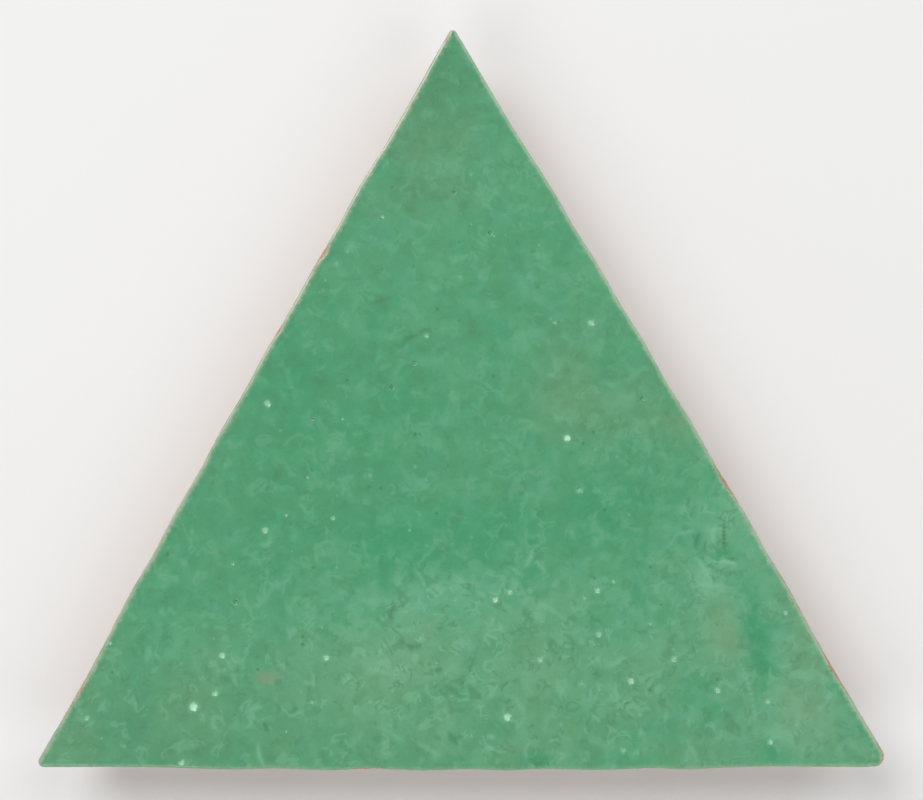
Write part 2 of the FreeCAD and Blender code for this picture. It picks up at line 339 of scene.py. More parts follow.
class Tree:
    """A node tree to which nodes are added one by one."""

    def __init__(self, node_tree):
        self.node_tree = node_tree

    def node(self, kind, settings=None, inputs=(), output=0):
        """Adds a node with its settings and the values or links of its inputs, and gives one output."""
        node = self.node_tree.nodes.new(kind)
        for name, value in (settings or {}).items():
            setattr(node, name, value)
        for key, value in inputs.items() if isinstance(inputs, dict) else enumerate(inputs):
            socket = pick(node.inputs, key)
            if isinstance(value, Field):
                self.node_tree.links.new(value.socket, socket)
            else:
                socket.default_value = value
        return Field(self, pick(node.outputs, output)) if len(node.outputs) else None

    def noise(self, place, size, detail=0.0, roughness=0.5, spread=0.0):
        """A cloudy pattern between 0 and 1 whose clouds are about that size."""
        inputs = {"Vector": place, "Scale": 1 / size, "Detail": detail, "Roughness": roughness,
                  "Distortion": spread}
        return self.node("ShaderNodeTexNoise", None, inputs, "Fac")

    def cells(self, place, size):
        """The distance from the middle of the nearest cell, as a share of the cells' size."""
        inputs = {"Vector": place, "Scale": 1 / size}
        return self.node("ShaderNodeTexVoronoi", {"feature": "F1"}, inputs, "Distance")

    def part(self, vector, axis):
        """One coordinate of a vector."""
        return self.node("ShaderNodeSeparateXYZ", None, [vector], axis)

    def moved(self, place, offset):
        return self.node("ShaderNodeVectorMath", {"operation": "ADD"}, [place, offset])

    def scaled(self, vector, factor):
        """A vector made longer or shorter, or a colour made lighter or darker, by a factor."""
        return self.node("ShaderNodeVectorMath", {"operation": "SCALE"}, {"Vector": vector, "Scale": factor})


class Shader(Tree):
    """A material's node tree."""

    def __init__(self, name):
        self.material = bpy.data.materials.new(name)
        self.material.use_nodes = True
        super().__init__(self.material.node_tree)
        self.node_tree.nodes.clear()

    def attribute(self, name):
        return self.node("ShaderNodeAttribute", {"attribute_name": name}, (), "Fac")

    def mix(self, share, first, second):
        """The first colour, turning into the second as the share rises from 0 to 1."""
        settings = {"data_type": "RGBA", "clamp_factor": True}
        inputs = {"Factor": share, "A": first, "B": second}
        return self.node("ShaderNodeMix", settings, inputs, "Result")

    def lean(self, colour, amount, above, below):
        """A colour that turns into another above an amount of nought, and into a third below it."""
        colour = self.mix(amount.at_least(0), colour, above)
        return self.mix((0 - amount).at_least(0), colour, below)

    def finish(self, shader):
        output = self.node_tree.nodes.new("ShaderNodeOutputMaterial")
        self.node_tree.links.new(shader.socket, output.inputs["Surface"])
        return self.material


class Geometry(Tree):
    """A Geometry Nodes tree with a mesh in, a mesh out and named inputs."""

    KINDS = {float: "NodeSocketFloat", int: "NodeSocketInt", str: "NodeSocketString"}

    def __init__(self, name, inputs):
        super().__init__(bpy.data.node_groups.new(name, "GeometryNodeTree"))
        self.node_tree.interface.new_socket("Mesh", in_out="INPUT", socket_type="NodeSocketGeometry")
        for label, value in inputs.items():
            kind = self.KINDS.get(type(value), "NodeSocketObject")
            self.node_tree.interface.new_socket(label, in_out="INPUT", socket_type=kind)
        self.node_tree.interface.new_socket("Mesh", in_out="OUTPUT", socket_type="NodeSocketGeometry")
        self.start = self.node("NodeGroupInput")
        self.values = inputs

    def given(self, label):
        return self.start.output(label)

    def attribute(self, name):
        return self.node("GeometryNodeInputNamedAttribute", {"data_type": "FLOAT"}, {"Name": name})

    def store(self, geometry, name, value):
        settings = {"data_type": "FLOAT", "domain": "POINT"}
        inputs = {"Geometry": geometry, "Name": name, "Value": value}
        return self.node("GeometryNodeStoreNamedAttribute", settings, inputs)

    def finish(self, geometry, material):
        real = self.node("GeometryNodeRealizeInstances", None, [geometry])
        painted = self.node("GeometryNodeSetMaterial", None, {"Geometry": real, "Material": material})
        output = self.node_tree.nodes.new("NodeGroupOutput")
        self.node_tree.links.new(painted.socket, output.inputs[0])

    def bake(self, piece):
        """The mesh that this tree makes of a piece."""
        modifier = piece.modifiers.new(self.node_tree.name, "NODES")
        modifier.node_group = self.node_tree
        for item in self.node_tree.interface.items_tree:
            if item.in_out == "INPUT" and item.name in self.values:
                modifier[item.identifier] = self.values[item.name]
        graph = bpy.context.evaluated_depsgraph_get()
        mesh = bpy.data.meshes.new_from_object(
            piece.evaluated_get(graph), preserve_all_data_layers=True, depsgraph=graph)
        piece.modifiers.remove(modifier)
        return mesh


class Body:
    """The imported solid, onto which the finer mesh is laid."""

    def __init__(self, node):
        self.low, self.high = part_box(node)
        mesh = bmesh.new()
        mesh.from_mesh(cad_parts[node].data)
        bmesh.ops.remove_doubles(mesh, verts=mesh.verts, dist=ROUNDING)
        self.points = [vertex.co.copy() for vertex in mesh.verts]
        self.surface = BVHTree.FromBMesh(mesh)
        mesh.free()
        self.corners = [self.outermost(math.radians(azimuth)) for azimuth in (210, 330, 90)]
        self.sides = list(zip(self.corners, self.corners[1:] + self.corners[:1]))
        # The face is part of a large ball, so it falls with the square of the distance
        inner = self.corners[0] * FALL_AT
        below = self.cast(inner + Vector((0, 0, 1)), Vector((0, 0, -1)))
        self.fall = (self.high.z - below.z) / inner.length_squared

    def outermost(self, azimuth):
        """The corner of the outline that lies furthest out in a direction."""
        out = Vector((math.cos(azimuth), math.sin(azimuth), 0))
        corner = max(self.points, key=out.dot)
        return Vector((corner.x, corner.y, 0))

    def cast(self, start, direction):
        place = self.surface.ray_cast(start, direction)[0]
        if place is None:
            raise RuntimeError(f"no surface is met from {start} towards {direction}")
        return place

    def face_height(self, place):
        return self.high.z - self.fall * (place.x**2 + place.y**2)

    def edge(self, out):
        """The point just below the face edge in a direction from the middle."""
        height = self.face_height(self.corners[0]) - ARRIS * MM
        for _ in range(2):
            place = self.cast(out * OUTSIDE + Vector((0, 0, height)), -out)
            height = self.face_height(place) - EDGE_DROP * ARRIS * MM
        return place

    def section(self, out):
        """The points of one column of the mesh, from the face ring over the edge and down to the back."""
        edge = self.edge(out)
        reach = edge.xy.length
        top = self.face_height(edge)
        up = Vector((0, 0, 1))
        ring = out * (reach - FACE_RING_INSET * MM)
        column = [ring + up * self.face_height(ring)]
        pivot = out * (reach - EDGE_PIVOT * MM) + up * (top - EDGE_PIVOT * MM)
        for inset, drop in EDGE_ROWS:
            target = out * (reach - inset * MM) + up * (top - drop * MM)
            ray = (target - pivot).normalized()
            column.append(self.cast(pivot + ray * PIVOT_OUT, -ray))
        last = column[-1].z
        for row in range(1, SIDE_ROWS + 1):
            height = last * (1 - row / SIDE_ROWS)
            # The back's edge is met just above the back
            place = self.cast(out * OUTSIDE + up * max(height, 2 * TRACE * MM), -out)
            column.append(Vector((place.x, place.y, height)))
        return column


def lattice(steps, body, ring):
    """Points of a triangular grid that fills a ring, the numbers of its ring points, and its triangles."""
    corners = body.corners
    even = [start.lerp(end, step / steps) for start, end in body.sides for step in range(steps)]
    scale = [point.xy.length / ideal.xy.length for point, ideal in zip(ring, even)]
    mean = sum(scale) / len(scale)
    points, on_ring, index = [], {}, {}
    for j in range(steps + 1):
        for i in range(steps + 1 - j):
            shares = (steps - i - j, i, j)
            index[(i, j)] = len(points)
            least = min(shares)
            place = (corners[0] * shares[0] + corners[1] * shares[1] + corners[2] * shares[2]) / steps
            spread = steps - 3 * least
            if spread == 0:
                points.append(place)
                continue
            # Where the ray from the middle through this point meets the outline
            side = next(k for k in range(3) if shares[(k + 2) % 3] == least)
            along = (shares[(side + 1) % 3] - least) / spread * steps
            before = int(along + ROUNDING)
            share = max(along - before, 0)
            first = side * steps + before
            second = (first + 1) % (3 * steps)
            if least == 0:
                on_ring[len(points)] = first % (3 * steps)
            met = scale[first % (3 * steps)] * (1 - share) + scale[second] * share
            # The outline's unevenness fades towards the middle
            points.append(place * (mean + (met - mean) * (spread / steps)**2))
    triangles = []
    for (i, j), a in index.items():
        if (i + 1, j) in index and (i, j + 1) in index:
            triangles.append((a, index[(i + 1, j)], index[(i, j + 1)]))
        if (i + 1, j) in index and (i + 1, j - 1) in index:
            triangles.append((a, index[(i + 1, j - 1)], index[(i + 1, j)]))
    return points, on_ring, triangles


def first_mesh(body, steps):
    """The tile's skin as an even grid: face, edge, sides and back."""
    columns = [body.section(start.lerp(end, step / steps).normalized())
               for start, end in body.sides for step in range(steps)]
    mesh = bmesh.new()
    rows = [[mesh.verts.new(column[row]) for column in columns] for row in range(len(columns[0]))]
    for upper, lower in zip(rows, rows[1:]):
        for k in range(len(upper)):
            following = (k + 1) % len(upper)
            mesh.faces.new((upper[following], upper[k], lower[k], lower[following]))
    for ring, height, turned in ((rows[0], body.face_height, False), (rows[-1], lambda place: 0.0, True)):
        points, on_ring, triangles = lattice(steps, body, [vertex.co for vertex in ring])
        verts = []
        for number, point in enumerate(points):
            if number in on_ring:
                verts.append(ring[on_ring[number]])
            else:
                verts.append(mesh.verts.new((point.x, point.y, height(point))))
        for triangle in triangles:
            corner = [verts[number] for number in triangle]
            mesh.faces.new(reversed(corner) if turned else corner)
    return mesh


def refine(mesh, wanted):
    """Halves the edges whose middle is wanted."""
    edges = [edge for edge in mesh.edges if wanted((edge.verts[0].co + edge.verts[1].co) / 2)]
    bmesh.ops.subdivide_edges(mesh, edges=edges, cuts=1, use_grid_fill=True)
    wide = [face for face in mesh.faces if len(face.verts) > 4]
    bmesh.ops.triangulate(mesh, faces=wide)


def search_tree(places):
    """A tree that finds the nearest of some places, and its number."""
    tree = KDTree(len(places))
    for number, place in enumerate(places):
        tree.insert(place, number)
    tree.balance()
    return tree


class EdgeMeasure:
    """How far points lie from the face edge."""

    SPACING = 0.1 * MM

    def __init__(self, body):
        self.body = body
        self.places = []
        for start, end in body.sides:
            count = int((end - start).length / self.SPACING)
            self.places += [body.edge(start.lerp(end, step / count).normalized()) for step in range(count)]
        self.outline = search_tree([(place.x, place.y, 0) for place in self.places])

    def from_edge(self, place):
        """In mm along the surface: above nought on the face, below nought down the side."""
        _, number, inset = self.outline.find((place.x, place.y, 0))
        drop = self.body.face_height(self.places[number]) - place.z
        if place.z > self.body.face_height(place) - TRACE * MM:
            return inset / MM
        return (min(inset, ARRIS * MM) - drop) / MM


def store(mesh, name, values):
    attribute = mesh.attributes.get(name) or mesh.attributes.new(name, "FLOAT", "POINT")
    attribute.data.foreach_set("value", np.asarray(values, np.float32))


def read(mesh, name):
    values = np.zeros(len(mesh.vertices), np.float32)
    mesh.attributes[name].data.foreach_get("value", values)
    return values


def coordinates(mesh):
    values = np.zeros(3 * len(mesh.vertices), np.float32)
    mesh.vertices.foreach_get("co", values)
    return values.reshape(-1, 3)


def new_object(name, data):
    made = bpy.data.objects.new(name, data)
    bpy.context.scene.collection.objects.link(made)
    return made


def pit_tree(seed, where, density, closest, widest):
    """Scatters pits over the part of a mesh that an attribute names; each is a point with its width."""
    tree = Geometry(f"{where}_pits", {
        "Where": where, "Density": density, "Closest": closest, "Widest": widest, "Seed": seed})
    share = tree.attribute(tree.given("Where"))
    inputs = {"Mesh": tree.start, "Distance Min": tree.given("Closest"), "Seed": tree.given("Seed"),
              "Density Max": tree.given("Density"), "Density Factor": share}
    points = tree.node("GeometryNodeDistributePointsOnFaces", {"distribute_method": "POISSON"}, inputs)
    chance = tree.node("FunctionNodeRandomValue", {"data_type": "FLOAT"}, {"Seed": tree.given("Seed")})
    # Many are small and few are wide
    width = tree.given("Widest") * (0.35 + 0.65 * chance ** 3)
    vertices = tree.node("GeometryNodePointsToVertices", None, [points])
    tree.finish(tree.store(vertices, "width", width), None)
    return tree


def pits_mesh(base, body, sizes):
    """All pits as loose points: pinholes in the glaze, and holes that grit has left in the clay."""
    square_cm = 1e-4
    groups = (
        # Where, density, closest, widest, depth as a share of the width, painted glint
        ("glazed", sizes.pinhole_density, 2.0 * MM, sizes.pinhole_width, 0.25, 0.4),
        ("bare", sizes.grit_density, 1.6 * MM, sizes.grit_width, 0.20, 0),
    )
    places, facts = [], []
    for number, (where, density, closest, widest, depth, shine) in enumerate(groups):
        mesh = pit_tree(sizes.seed + number, where, density / square_cm, closest, widest).bake(base)
        for place, width in zip(coordinates(mesh), read(mesh, "width")):
            # Every third pinhole is dark, with painted shade in place of a painted glint
            told = -1.5 * shine if shine and len(places) % 3 == 0 else shine
            places.append(tuple(place))
            facts.append((width, width * depth, told))
        bpy.data.meshes.remove(mesh)
    for pit in PINHOLES:
        place = Vector((pit.x * MM, pit.y * MM, 0))
        places.append((place.x, place.y, body.face_height(place)))
        facts.append((pit.width * MM, pit.width * pit.depth * MM, pit.shine))
    mesh = bpy.data.meshes.new("pits")
    mesh.from_pydata(places, [], [])
    for name, values in zip(PIT_FACTS, zip(*facts)):
        store(mesh, name, values)
    return mesh


def relief_tree(pits, sizes, material):
    """Waves, pits, fracture and sand, all pressed inwards, so that the tile stays inside its solid."""
    names = ("wave_height", "ripple_height", "fracture_depth", "sand_depth", "chip_width", "glaze_depth")
    given = {name.replace("_", " ").title(): getattr(sizes, name) for name in names}
    tree = Geometry("tile_relief", {"Pits": pits, **given})
    position = tree.node("GeometryNodeInputPosition")
    place = tree.scaled(position, 1 / MM)
    from_edge = tree.attribute("from_edge")
    height = tree.part(place, "Z")

    # The nearest pit, and what is known of it
    spots = tree.node(
        "GeometryNodeObjectInfo", {"transform_space": "ORIGINAL"}, [tree.given("Pits")], "Geometry")
    inputs = {"Geometry": spots, "Sample Position": position}
    nearest = tree.node("GeometryNodeSampleNearest", {"domain": "POINT"}, inputs)
    distance = tree.node("GeometryNodeProximity", {"target_element": "POINTS"}, inputs, "Distance")
    told = {}
    for fact in PIT_FACTS:
        inputs = {"Geometry": spots, "Value": tree.attribute(fact), "Index": nearest}
        told[fact] = tree.node("GeometryNodeSampleIndex", {"data_type": "FLOAT", "domain": "POINT"}, inputs)
    # A pit's rim isn't quite round
    wobble = 0.75 + 0.5 * tree.noise(place, 0.5)
    reach = distance * 2 / told["width"] * wobble
    bowl = (1 - reach * reach).at_least(0) * told["depth"]

    # Along the edge the glaze has chipped off, in a ragged line and in chips
    chips = tree.noise(place, 1.9, 2, 0.6).ramp(0.60, 0.80) * tree.given("Chip Width") / MM
    ragged = tree.noise(place, 0.9, 2, 0.7)
    line = tree.attribute("line")
    bared = line * (0.5 + ragged) + chips * line.ramp(0.1, 0.6) + GLAZE_END - from_edge
    glazed = from_edge.ramp(GLAZE_END - 0.1, GLAZE_END + 0.1)
    step = bared.ramp(-0.02, 0.10) * glazed * tree.given("Glaze Depth")

    # The glaze lies in slow waves and ripples
    waves = tree.noise(place, 17, 1, 0.35).ramp(0.25, 0.75) * tree.given("Wave Height")
    ripples = tree.noise(place, 4.5, 1) * tree.given("Ripple Height")
    glaze = from_edge.ramp(0.1, 1.5) * (waves + ripples)

    # The sides are a fracture, with strokes that run down from the blows
    flat = tree.node("ShaderNodeVectorMath", {"operation": "MULTIPLY"}, [place, (1.0, 1.0, 0.28)])
    ribs = abs(tree.noise(flat, 1.5, 2, 0.6) - 0.5).ramp(0.0, 0.18)
    lumps = tree.noise(place, 3.6, 3, 0.6).ramp(0.30, 0.70)
    grain = tree.noise(place, 0.9, 2, 0.7)
    # Small dished scars, with sharp ridges where two meet
    bent = tree.node("ShaderNodeTexNoise", None, {"Vector": place, "Scale": 0.4}, "Color")
    scars = tree.cells(tree.moved(place, tree.scaled(bent, 3.0)), 4.5)
    dishes = (1 - 1.9 * scars * scars).at_least(0)
    normal = tree.node("GeometryNodeInputNormal")
    slope = tree.part(normal, "Z")
    side = from_edge.ramp(-0.4, -1.6) * slope.ramp(-0.99, -0.85)
    crumbs = tree.noise(tree.moved(place, (9, 0, 4)), 1.3, 1, 0.5).ramp(0.50, 0.66)
    broken = 0.40 * dishes + 0.16 * ribs + 0.20 * lumps + 0.12 * grain + 0.12 * crumbs
    # It is shallower at the foot
    fracture = side * (broken * tree.given("Fracture Depth")).at_most((FOOT_DEPTH + FOOT_SLOPE * height) * MM)
    # Just below the glaze the break is finer
    lip = from_edge.ramp(-0.05, -0.4) * (1 - side) * grain * tree.given("Fracture Depth") * 0.15

    # The back dried on sand
    back = height.ramp(0.3, 0.0)
    swell = 0.6 * tree.noise(place, 7, 3, 0.6) + 0.4 * tree.noise(place, 1.7, 1, 0.6)
    sand = back * (swell - 0.4).at_least(0) * 2 * tree.given("Sand Depth")
    # How hollow each point lies; the shader paints the clay darker in hollows and paler on ridges, as painted
    # shade and light
    hollow = side * broken + (1 - side) * 0.45 + back * 0.3 * (swell.ramp(0.35, 0.65) - 0.6)

    depth = bowl + step + glaze + fracture + lip + sand
    inputs = {"Value": normal, "Iterations": NORMAL_BLUR}
    even = tree.node("GeometryNodeBlurAttribute", {"data_type": "FLOAT_VECTOR"}, inputs)
    inwards = tree.part(tree.scaled(even, depth * -1), "X")
    # A hollow at the foot doesn't reach through the back
    lift = inwards.output("Z").at_least(height * -FOOT_DROP * MM)
    offset = tree.node("ShaderNodeCombineXYZ", None, [inwards, inwards.output("Y"), lift])
    moved = tree.node("GeometryNodeSetPosition", None, {"Geometry": tree.start, "Offset": offset})
    facts = {"pit_reach": reach.at_most(4), "pit_shine": told["shine"], "bared": bared, "hollow": hollow}
    for name, value in facts.items():
        moved = tree.store(moved, name, value)
    tree.finish(moved, material)
    return tree


def bends(places, size):
    """A slow unevenness of that size in mm, between -1 and 1 in x and in y."""
    return np.array([noise.noise_vector(Vector(place) / (size * MM)) for place in places])[:, :2]


def patch_fields(places):
    """How green, light, full of strokes and rusty the glaze is at each place, from the soft patches."""
    noise.seed_set(BEND_SEED)
    fields = np.zeros((len(places), 4))
    flat = places[:, :2] / MM + sum(bends(places, size) * reach for size, reach in PATCH_BENDS)
    for patch in PATCHES:
        turn = math.radians(patch.turn)
        away = flat - (patch.x, patch.y)
        across = (away[:, 0] * math.cos(turn) + away[:, 1] * math.sin(turn)) / patch.wide
        upward = (away[:, 1] * math.cos(turn) - away[:, 0] * math.sin(turn)) / patch.high
        strength = np.exp(-across**2 - upward**2)
        fields += strength[:, None] * (patch.green, patch.light, patch.strokes, patch.rust)
    return fields.T


def stroke_points(stroke):
    """Points along a stroke, in mm, which bends towards its middle point."""
    start, bend, end = (np.array(point) for point in (stroke.start, stroke.bend, stroke.end))
    shares = np.linspace(0, 1, STROKE_STEPS)[:, None]
    return start * (1 - shares)**2 + bend * 2 * shares * (1 - shares) + end * shares**2


def stroke_field(places):
    """How pale or dark the strokes that stand out make the glaze at each place."""
    tone = np.zeros(len(places))
    flat = places[:, :2] / MM
    for stroke in STROKES:
        points = stroke_points(stroke)
        low, high = points.min(axis=0) - STROKE_REACH, points.max(axis=0) + STROKE_REACH
        near = np.flatnonzero(np.all((flat > low) & (flat < high), axis=1))
        away = np.linalg.norm(flat[near, None] - points[None], axis=2)
        taper = np.sin(np.linspace(STROKE_ENDS, math.pi - STROKE_ENDS, STROKE_STEPS)) ** 0.5
        strength = np.exp(-(away / (STROKE_SPREAD * stroke.width * taper))**2) * taper
        tone[near] += stroke.tone * strength.max(axis=1)
    return tone


def edge_wear(places, sides):
    """How far the glaze is worn back at the face edge, in mm, how warm the clay and how pale the glaze is."""
    away, share = [], []
    for start, end in sides:
        along = (end - start).normalized()
        x, y = places[:, 0] - start.x, places[:, 1] - start.y
        away.append(y * along.x - x * along.y)
        share.append((x * along.x + y * along.y) / (end - start).length)
    side = np.argmin(away, axis=0)
    share = np.choose(side, share)

    def along_side(ends):
        first, last = np.array(ends)[side].T
        return first + (last - first) * share

    width = along_side(SIDE_WEAR)
    warmth = np.full(len(places), 0.2)
    for worn in WORN:
        distance = np.hypot(places[:, 0] / MM - worn.x, places[:, 1] / MM - worn.y) / worn.reach
        near = np.exp(-distance**2)
        width = width * (1 - near) + worn.width * near
        warmth = warmth * (1 - near) + worn.warmth * near
    return width, warmth, along_side(SIDE_PALENESS)


def strokes(tree, place, offset, size):
    """Short bent strokes: contour lines of a bent cloud, broken where another cloud is low."""
    bent = tree.noise(tree.moved(place, offset), size, 1, 0.5, 1.2)
    whole = tree.noise(tree.moved(place, offset[::-1]), 0.7 * size).ramp(0.53, 0.65)
    return abs(bent - 0.5).ramp(0.085, 0.02) * whole


def dots(tree, place, spacing, uneven, least, more, core):
    """Dots one to a cell, whose radius is the least one and up to that much more, and each one's luck."""
    away = tree.cells(place, spacing)
    luck = tree.node("ShaderNodeSeparateColor", None, [away.output("Color")], "Red")
    return (spacing * away * uneven / (least + more * luck.output("Green"))).ramp(1.0, core), luck


def glaze_and_clay(finish):
    """The tile's one material: green glaze on the face, a broken line at its edge, bare clay below."""
    tree = Shader(SLOT)
    names = FinishProperties.__annotations__
    paint = SimpleNamespace(**{name: (*getattr(finish, name), 1.0) for name in names})
    place = tree.scaled(tree.node("ShaderNodeTexCoord", None, (), "Object"), 1 / MM)
    height = tree.part(place, "Z")
    from_edge = tree.attribute("from_edge")
    pit = tree.attribute("pit_reach")
    shine = tree.attribute("pit_shine")

    # Glaze: how green and how light it is, from slow patches to fine flecks
    stains = tree.noise(tree.moved(place, (40, 10, 0)), 9, 3, 0.55) - 0.5
    hue = tree.noise(tree.moved(place, (5, 60, 20)), 3.5, 3, 0.6)
    clouds = tree.noise(place, 2.8, 1, 0.5, 0.8) - 0.5
    flecks = tree.noise(tree.moved(place, (11, 3, 0)), 1.6, 1, 0.5, 0.7).ramp(0.32, 0.68) - 0.5
    grain = tree.noise(place, 0.45, 1, 0.6) - 0.5
    green = tree.attribute("green") * 1.15 + stains * 1.4
    light = tree.attribute("light") * 0.3 + clouds * 0.80 + flecks * 0.21 + grain * 0.17
    colour = tree.mix(hue.ramp(0.3, 0.7), paint.sea, paint.glaze)
    colour = tree.lean(colour, green, paint.deep, paint.thin)
    colour = tree.lean(colour, light, paint.milky, paint.murky)

    # Short strokes, pale and dark, and the few that stand out
    fullness = tree.attribute("strokes")
    milky = strokes(tree, place, (7, 31, 0), 2.5) * (0.25 + 0.35 * fullness)
    murky = strokes(tree, place, (23, 5, 9), 2.1) * (0.25 + 0.2 * fullness)
    colour = tree.mix(murky, tree.mix(milky, colour, paint.milky), paint.murky)
    colour = tree.lean(colour, tree.attribute("tone"), paint.milky, paint.murky)
    rust = tree.attribute("rust") * tree.noise(place, 0.8, 2).ramp(0.20, 0.50)
    colour = tree.mix(rust, colour, paint.rust)

    # Scattered dots, dark and pale
    spots, luck = dots(tree, place, 1.3, 1 + 0.8 * grain, 0.15, 0.22, 0.2)
    colour = tree.mix(spots * luck.ramp(0.82, 0.99) * 0.5, colour, paint.shade)
    colour = tree.mix(spots * luck.ramp(0.16, 0.02) * 0.7, colour, paint.milky)

    # Pinholes: a painted white glint on the floor of the bright ones, in a pale painted halo, and painted
    # shade in the dark ones, with a broken outline
    pit = pit + 0.8 * (tree.noise(place, 0.3, 1) - 0.5)
    colour = tree.mix(pit.ramp(2.2, 1.0) * shine.at_least(0) * 0.35, colour, paint.milky)
    colour = tree.mix(pit.ramp(1.15, 0.55) * shine.at_least(0), colour, paint.shine)
    colour = tree.mix(pit.ramp(1.2, 0.5) * (0 - shine).at_least(0) * 0.8, colour, paint.shade)

    # Where it thins out over the face edge it is pale
    ragged = tree.noise(place, 0.5, 3, 0.7) - 0.5
    patchy = tree.noise(tree.moved(place, (0, 17, 0)), 2.6, 2).ramp(0.25, 0.60)
    paleness = tree.attribute("paleness")
    pale = (from_edge + ragged - 0.35 * paleness).ramp(0.52, -0.05) * paleness * (0.55 + 0.45 * patchy)
    colour = tree.mix(pale, colour, paint.pale)

    # Clay: clouds of iron, pale dust, dark pores, and painted shade in the fracture's hollows with painted
    # light on its ridges
    iron = tree.noise(place, 9, 3, 0.6).ramp(0.42, 0.68)
    clay = tree.mix(iron * 0.55, paint.clay, paint.iron)
    dust = tree.noise(tree.moved(place, (3, 9, 27)), 2.2, 3, 0.7).ramp(0.46, 0.66)
    clay = tree.mix(dust * 0.45, clay, paint.dust)
    hollow = tree.attribute("hollow")
    # Paler on the fracture's ridges, as painted light and wear, and darker in its hollows, as painted shade
    # in the colour of iron
    clay = tree.mix(hollow.ramp(0.36, 0.12) * 0.55, clay, paint.dust)
    clay = tree.mix(hollow.ramp(0.45, 0.85) * 0.50, clay, paint.iron)
    pores = tree.noise(place, 0.55, 2, 0.7)
    smudges = tree.noise(tree.moved(place, (8, 2, 5)), 3.0, 3, 0.65).ramp(0.30, 0.70)
    # Pores and smudges vary it, and it is darker in the hollows and lighter on the ridges, as painted shade
    # and painted light
    clay = tree.scaled(clay, 0.72 + 0.26 * pores.ramp(0.25, 0.75) + 0.22 * smudges + 0.30 * (0.5 - hollow))
    clay = tree.mix(pores.ramp(0.37, 0.28) * 0.6, clay, paint.shard)
    # Grog and lime in it, dark and pale
    grains, luck = dots(tree, place, 1.7, 0.7 + 0.6 * pores, 0.20, 0.35, 0.6)
    clay = tree.mix(grains * luck.ramp(0.72, 0.80) * 0.55, clay, paint.shard)
    clay = tree.mix(grains * luck.ramp(0.20, 0.12) * 0.65, clay, paint.dust)
    back = height.ramp(0.5, 0.1)
    clay = tree.mix(back * 0.35, clay, paint.dust)

    # The broken glass layer shows below the face edge, and a crushed line where the glaze is worn back
    whole = tree.noise(tree.moved(place, (30, 0, 0)), 1.8, 2, 0.6).ramp(0.34, 0.56)
    worn = tree.attribute("line").ramp(0.08, 0.35)
    section = (from_edge + 0.9 * ragged).ramp(-0.90, -0.62) * (0.25 + 0.75 * whole)
    section = section * (1 - 0.8 * worn)
    broken = tree.mix(section * 0.8, clay, paint.section)
    crushed = tree.mix(tree.attribute("warmth"), paint.line, paint.orange)
    line = (from_edge + 0.6 * ragged).ramp(-0.48, -0.33) * worn
    broken = tree.mix(line * 0.85, broken, crushed)
    bared = (tree.attribute("bared") + 0.12 * ragged).ramp(-0.05, 0.05)
    colour = tree.mix(bared, colour, broken)

    glass = 1 - bared
    gloss = 0.22 + 0.10 * tree.noise(place, 2.6, 3, 0.6) + 0.25 * pit.ramp(1.2, 0.6)
    roughness = gloss * glass + 0.88 * bared
    peel = tree.noise(place, 1.3, 2, 0.5) * 0.010 * glass
    rough = (tree.noise(place, 0.35, 3, 0.75) * 0.20 + pores * 0.26 - grains * 0.05) * bared
    bump = tree.node("ShaderNodeBump", None, {"Strength": 1.0, "Distance": MM, "Height": peel + rough})
    inputs = {"Base Color": colour, "Roughness": roughness, "IOR": 1.5, "Normal": bump,
              "Coat Weight": glass * 0.6, "Coat Roughness": 0.09, "Coat IOR": 1.5}
    return tree.finish(tree.node("ShaderNodeBsdfPrincipled", None, inputs))


